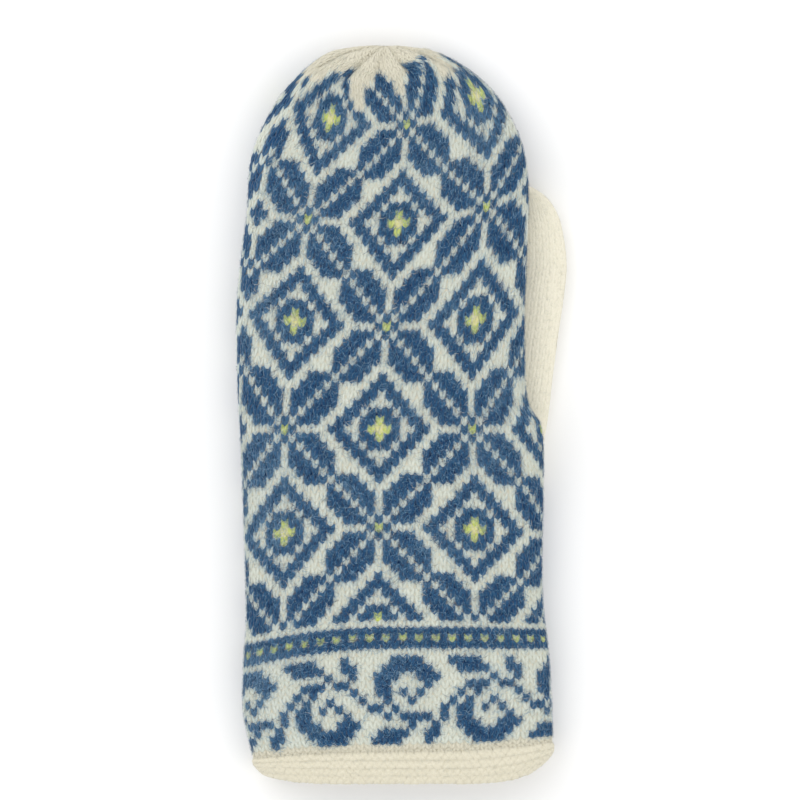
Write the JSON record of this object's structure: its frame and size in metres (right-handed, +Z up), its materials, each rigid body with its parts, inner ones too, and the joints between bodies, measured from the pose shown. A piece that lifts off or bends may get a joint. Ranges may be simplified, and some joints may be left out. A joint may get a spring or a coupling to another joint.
{
  "type": "knitted mitten",
  "caption": "Left-hand wool mitten in two-colour patterned knit, with a gathered fingertip, a plain thumb and a purl hem, lying palm down.",
  "frame": {"origin": "under the middle of the whole mitten, on the surface that it lies on", "axes": "+Y from the cuff to the fingertip, +X towards the thumb's side, +Z up through the back of the hand"},
  "size_m": [0.1188, 0.2658, 0.0286],
  "materials": {
    "hand_knit": "brushed two-colour stranded wool knit in blue, cream and a little lime",
    "thumb_knit": "brushed cream wool stocking stitch",
    "hem_knit": "brushed cream wool purl ridges"
  },
  "bodies": {
    "root": {"hand": "hand_knit", "thumb": "thumb_knit", "cuff_hem": "hem_knit"}
  },
  "joints": []
}
